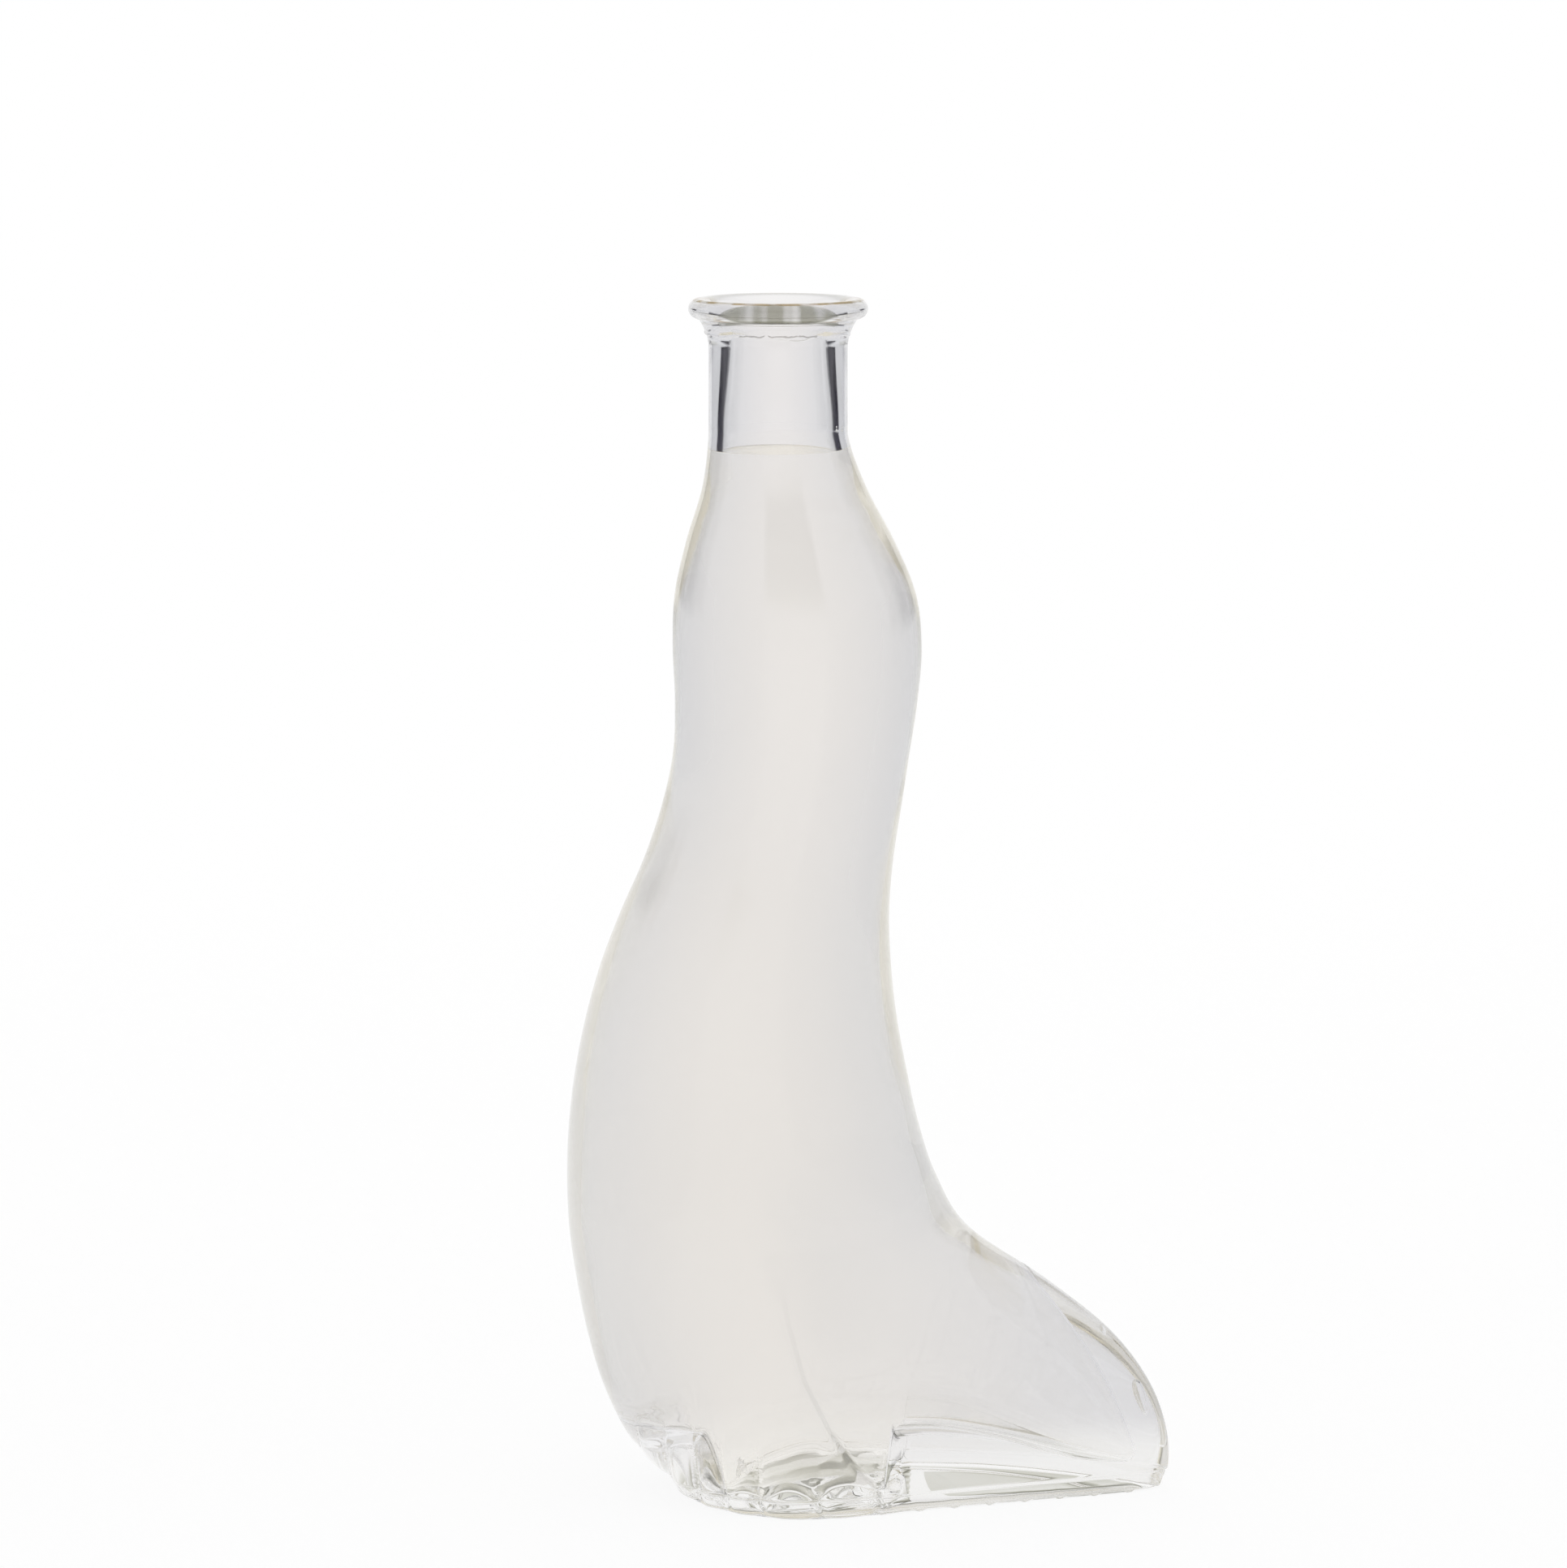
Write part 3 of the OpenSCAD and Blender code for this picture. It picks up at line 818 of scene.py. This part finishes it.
def coordinates(tree, kind="Object"):
    """The X, Y and Z of one kind of texture coordinate."""
    place = tree.nodes.new("ShaderNodeTexCoord")
    parts = tree.nodes.new("ShaderNodeSeparateXYZ")
    tree.links.new(place.outputs[kind], parts.inputs["Vector"])
    return [parts.outputs[axis] for axis in "XYZ"]


def noise(tree, scale, detail):
    """A noise over the piece's own coordinates."""
    place = tree.nodes.new("ShaderNodeTexCoord")
    node = tree.nodes.new("ShaderNodeTexNoise")
    node.inputs["Scale"].default_value = scale
    node.inputs["Detail"].default_value = detail
    tree.links.new(place.outputs["Object"], node.inputs["Vector"])
    return node.outputs["Fac"]


def new_material(name, values):
    """A material, its node tree and its shader, with values for the shader's own sockets."""
    material = bpy.data.materials.new(name)
    material.use_nodes = True
    tree = material.node_tree
    shader = tree.nodes["Principled BSDF"]
    for socket, value in values.items():
        feed(tree, shader.inputs[socket], value)
    return material, tree, shader


def clear_values(ior):
    """The shader's values for clear glass or a clear drink."""
    return {"IOR": ior, "Roughness": 0.0, "Transmission Weight": 1.0}


def clear_material(name, colour, ior):
    """A clear dielectric whose tint drifts slightly through the piece."""
    material, tree, shader = new_material(name, clear_values(ior))
    paler = tuple(colour)
    deeper = tuple(TINT_DRIFT * c for c in colour)
    tint = ramp(tree, noise(tree, scale=25.0, detail=1.0), ((0.3, deeper), (0.7, paler)))
    tree.links.new(tint, shader.inputs["Base Color"])
    return material


def crease_shade_line(tree, x, z, s):
    """A line of painted shade along the flipper's rear edge, which fades upwards, as a share from 0 to 1.
    """
    height = calc(tree, "DIVIDE", z, s.flipper_height)
    edge = ramp(tree, height, [(up, (place,) * 3) for place, up in CREASE_SHARES])
    half_width = 0.024
    line = calc(tree, "COMPARE", calc(tree, "DIVIDE", x, s.flipper_rear), edge, half_width)
    return calc(tree, "MULTIPLY", line, share_of(tree, height, start=1.0, end=0.4))


def seam_shade_line(tree, x, z, s):
    """A wavy broken line of painted shade where the ring seam crosses the neck's front, as a share from 0
    to 1.
    """
    wave = noise(tree, scale=420.0, detail=2.0)
    swing = 1.2 * MM
    half_width = 0.13 * MM
    height = calc(tree, "ADD", z, calc(tree, "MULTIPLY_ADD", wave, swing, -swing / 2))
    line = calc(tree, "COMPARE", height, s.seam_height + 2.6 * s.seam_step, half_width)
    middle = calc(tree, "COMPARE", x, 0.0, s.neck_radius / 1.8)
    broken = calc(tree, "GREATER_THAN", wave, 0.42)
    return calc(tree, "MULTIPLY", calc(tree, "MULTIPLY", line, middle), broken)


def outer_material(name, finish, s):
    """Clear glass with painted shade, greyer where it faces the chest or the tail, which are its rims as
    the camera sees them, and greyer towards the tail; clearer in the base.

    Its near side has a faint line of painted shade along the flipper's rear edge, and a broken one at the
    ring seam.
    """
    material = clear_material(name, finish.glass_colour, finish.glass_ior)
    tree = material.node_tree
    base_colour = tree.nodes["Principled BSDF"].inputs["Base Color"]
    tint = base_colour.links[0].from_socket
    # Painted shade: the tint greys where the glass faces the chest or the tail, its rims as the camera sees
    # them
    facing = coordinates(tree, "Normal")[0]
    x, y, z = coordinates(tree)
    # Painted shade: the tint also greys towards the tail
    behind = share_of(tree, x, s.flipper_rear, 3 * s.flipper_rear, most=0.3)
    painted_grey = ramp(tree, calc(tree, "ADD", calc(tree, "MULTIPLY", facing, facing), behind), PAINTED_SHADE_STOPS)
    body = blend(tree, 1.0, tint, painted_grey, "MULTIPLY")
    low = share_of(tree, z, s.floor_height, s.floor_height / 2)
    tint_and_painted_shade = blend(tree, low, body, tuple(finish.base_colour))
    crease = calc(tree, "MULTIPLY", crease_shade_line(tree, x, z, s), CREASE_SHADE_STRENGTH)
    either = calc(tree, "MAXIMUM", crease, seam_shade_line(tree, x, z, s))
    # Only the near side, which faces the camera, gets these painted shade lines
    lines = calc(tree, "MULTIPLY", either, calc(tree, "LESS_THAN", y, 0.0))
    tree.links.new(blend(tree, lines, tint_and_painted_shade, PAINTED_LINE_SHADE, "MULTIPLY"), base_colour)
    return material


def mouth_material(name, finish, low, high):
    """Glass with painted shade: dark streaks in the mouth between two heights, and a brown painted line on
    the lip above them.
    """
    material, tree, shader = new_material(name, clear_values(finish.glass_ior))
    x, y, z = coordinates(tree)
    # The painted shade streaks hang lower at the sides, and only the near side, which faces the camera, has
    # them
    bend = 11.0
    arch = calc(tree, "MULTIPLY", calc(tree, "MULTIPLY", x, x), bend)
    height = share_of(tree, calc(tree, "ADD", z, arch), low, high)
    dark = tuple(finish.mouth_shade_colour)
    brown = tuple(finish.lip_shade_colour)
    stops = ((0.42, WHITE), (0.5, dark), (0.78, dark), (0.82, WHITE), (0.88, WHITE), (0.92, brown))
    patches = share_of(tree, noise(tree, scale=330.0, detail=1.0), 0.46, 0.66, most=0.6)
    far_side = share_of(tree, y, 0.0, high - low)
    clear = calc(tree, "MAXIMUM", patches, far_side)
    tree.links.new(blend(tree, clear, ramp(tree, height, stops), WHITE), shader.inputs["Base Color"])
    return material


class BOTTLE_OT_glass(Operator):
    """Build the glass in one seamless closed mesh, from the base to the lip"""

    bl_idname = "bottle.glass"
    bl_label = "Glass"

    def execute(self, context):
        scene = context.scene
        finish = scene.bottle_finish
        s = scene.bottle_shape
        piece = loft("glass_body", *glass_rings(Sections(s)), bubbles_of(s))
        for material in (
            clear_material("clear_glass_inside", finish.inside_colour, finish.glass_ior),
            outer_material("clear_glass", finish, s),
            mouth_material("mouth_glass", finish, s.seam_height + s.flare_drop, s.top_height),
        ):
            piece.data.materials.append(material)
        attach(piece, "root")
        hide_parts(*GLASS_NODES)
        return {"FINISHED"}


class BOTTLE_OT_drink(Operator):
    """Fill the bottle with the drink, up to the foot of the neck"""

    bl_idname = "bottle.drink"
    bl_label = "Drink"

    def execute(self, context):
        scene = context.scene
        finish = scene.bottle_finish
        piece = loft("drink", drink_rings(Sections(scene.bottle_shape)))
        material = clear_material("drink", WHITE, finish.drink_ior)
        tree = material.node_tree
        depth = tree.nodes.new("ShaderNodeVolumeAbsorption")
        depth.inputs["Color"].default_value = (*finish.drink_colour, 1)
        depth.inputs["Density"].default_value = finish.drink_density
        tree.links.new(depth.outputs["Volume"], tree.nodes["Material Output"].inputs["Volume"])
        piece.data.materials.append(material)
        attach(piece, "root")
        return {"FINISHED"}


def flat_piece(name, verts, faces):
    """A flat piece of the stage."""
    mesh = bpy.data.meshes.new(name)
    mesh.from_pydata(verts, [], faces)
    piece = bpy.data.objects.new(name, mesh)
    bpy.context.collection.objects.link(piece)
    return piece


def upright(name, x, front, back, low, high):
    """An upright panel beside the bottle, between two places along the view and two heights."""
    corners = [(x, front, low), (x, back, low), (x, back, high), (x, front, high)]
    return flat_piece(name, corners, [[0, 1, 2, 3]])


def any_ray(tree, *names):
    """1 for a ray of one of these kinds, and 0 for any other."""
    path = tree.nodes.new("ShaderNodeLightPath")
    total = path.outputs[names[0]]
    for name in names[1:]:
        total = calc(tree, "MAXIMUM", total, path.outputs[name])
    return total


def mix_shaders(tree, share, first, second):
    """Makes the surface a mix of two shaders by a share."""
    node = tree.nodes.new("ShaderNodeMixShader")
    tree.links.new(share, node.inputs["Fac"])
    tree.links.new(first, node.inputs[1])
    tree.links.new(second, node.inputs[2])
    tree.links.new(node.outputs["Shader"], tree.nodes["Material Output"].inputs["Surface"])


def floor_material():
    """White paper, which shows as plain white to the camera where no shadow falls on it."""
    material, tree, shader = new_material("white_floor", {"Base Color": WHITE, **MATT})
    plain = tree.nodes.new("ShaderNodeEmission")
    plain.inputs["Color"].default_value = (*WHITE, 1)
    share = calc(tree, "MULTIPLY", any_ray(tree, "Is Camera Ray", *GLASS_RAYS), PLAIN_SHARE)
    mix_shaders(tree, share, shader.outputs["BSDF"], plain.outputs["Emission"])
    return material


def card_material():
    """Pale paper, a little greyer towards the camera in painted shade, as if less lit at that end."""
    material, tree, shader = new_material("pale_card", MATT)
    plain = tree.nodes.new("ShaderNodeEmission")
    # Painted shade: the card greys towards its end nearest the camera
    painted_grey = ramp(tree, coordinates(tree, "Generated")[1], ((0.4, (0.9, 0.9, 0.91)), (1.0, WHITE)))
    tree.links.new(painted_grey, shader.inputs["Base Color"])
    tree.links.new(painted_grey, plain.inputs["Color"])
    share = any_ray(tree, "Is Camera Ray", *GLASS_RAYS)
    mix_shaders(tree, share, shader.outputs["BSDF"], plain.outputs["Emission"])
    return material


def flag_material():
    """Dark cloth that thins out at its edges."""
    material, tree, shader = new_material("dark_flag", {"Base Color": (0.02, 0.017, 0.036), **MATT})
    clear = tree.nodes.new("ShaderNodeBsdfTransparent")
    from_edges = [calc(tree, "PINGPONG", axis, 0.5) for axis in coordinates(tree, "Generated")[1:]]
    cover = share_of(tree, calc(tree, "MINIMUM", *from_edges), 0.0, FLAG_EDGE)
    mix_shaders(tree, cover, clear.outputs["BSDF"], shader.outputs["BSDF"])
    return material


def build_world(scene):
    """White all round. As seen in the glass, it darkens above the horizon and is pale again overhead."""
    world = bpy.data.worlds.new("white_world")
    scene.world = world
    world.use_nodes = True
    tree = world.node_tree
    background = tree.nodes["Background"]
    background.inputs["Strength"].default_value = 1.0
    sky = ramp(tree, coordinates(tree, "Generated")[2], SKY_STOPS)
    seen = blend(tree, any_ray(tree, *GLASS_RAYS), WHITE, sky)
    tree.links.new(seen, background.inputs["Color"])


class BOTTLE_OT_stage(Operator):
    """Set up the white floor, the pale cards, the dark flags, the light and the camera"""

    bl_idname = "bottle.stage"
    bl_label = "Stage"

    def execute(self, context):
        scene = context.scene
        stage = scene.bottle_stage
        r = stage.floor_radius
        sides = 64
        turns = [2 * math.pi * k / sides for k in range(sides)]
        edge = [(r * math.cos(a), r * math.sin(a), 0) for a in turns]
        floor = flat_piece("floor", edge, [list(range(sides))])
        floor.data.materials.append(floor_material())
        d = stage.card_distance
        for side, hand in (("left", -1), ("right", 1)):
            card = upright(f"card_{side}", hand * d, *[share * d for share in CARD_SHARES])
            card.data.materials.append(card_material())
            x, *ends = [share * d for share in FLAG_SHARES]
            flag = upright(f"flag_{side}", hand * x, *ends)
            flag.data.materials.append(flag_material())
            flag.visible_diffuse = False
            flag.visible_shadow = False
            # Only the glass shows the panels
            for panel in (card, flag):
                panel.visible_camera = False
        build_world(scene)
        data = bpy.data.cameras.new("camera")
        data.sensor_width = 36
        data.sensor_fit = "HORIZONTAL"
        data.lens = stage.camera_lens
        data.clip_end = 100
        camera = bpy.data.objects.new("camera", data)
        camera.location = (stage.camera_side, -stage.camera_distance, stage.camera_height)
        camera.rotation_euler = (math.pi / 2 - stage.camera_tilt, 0, 0)
        context.collection.objects.link(camera)
        scene.camera = camera
        scene.view_settings.view_transform = "Standard"
        scene.cycles.max_bounces = GLASS_BOUNCES
        scene.cycles.glossy_bounces = GLASS_BOUNCES
        scene.cycles.transmission_bounces = GLASS_BOUNCES
        return {"FINISHED"}


class BOTTLE_PT_sidebar(Panel):
    """Sizes, colours and build buttons of the bottle"""

    bl_idname = "BOTTLE_PT_sidebar"
    bl_label = "Glass bottle"
    bl_space_type = "VIEW_3D"
    bl_region_type = "UI"
    bl_category = "Bottle"

    def draw(self, context):
        for group in (context.scene.bottle_shape, context.scene.bottle_finish, context.scene.bottle_stage):
            box = self.layout.box()
            for name in group.__annotations__:
                box.prop(group, name)
        for operator in OPERATORS:
            self.layout.operator(operator.bl_idname)


GROUPS = (BottleShape, BottleFinish, BottleStage)
OPERATORS = (BOTTLE_OT_glass, BOTTLE_OT_drink, BOTTLE_OT_stage)


def register():
    for cls in (*GROUPS, *OPERATORS, BOTTLE_PT_sidebar):
        bpy.utils.register_class(cls)
    bpy.types.Scene.bottle_shape = PointerProperty(type=BottleShape)
    bpy.types.Scene.bottle_finish = PointerProperty(type=BottleFinish)
    bpy.types.Scene.bottle_stage = PointerProperty(type=BottleStage)


def unregister():
    del bpy.types.Scene.bottle_shape, bpy.types.Scene.bottle_finish, bpy.types.Scene.bottle_stage
    for cls in reversed((*GROUPS, *OPERATORS, BOTTLE_PT_sidebar)):
        bpy.utils.unregister_class(cls)


def main():
    register()
    bpy.ops.bottle.glass()
    bpy.ops.bottle.drink()
    bpy.ops.bottle.stage()


if __name__ == "__main__":
    main()
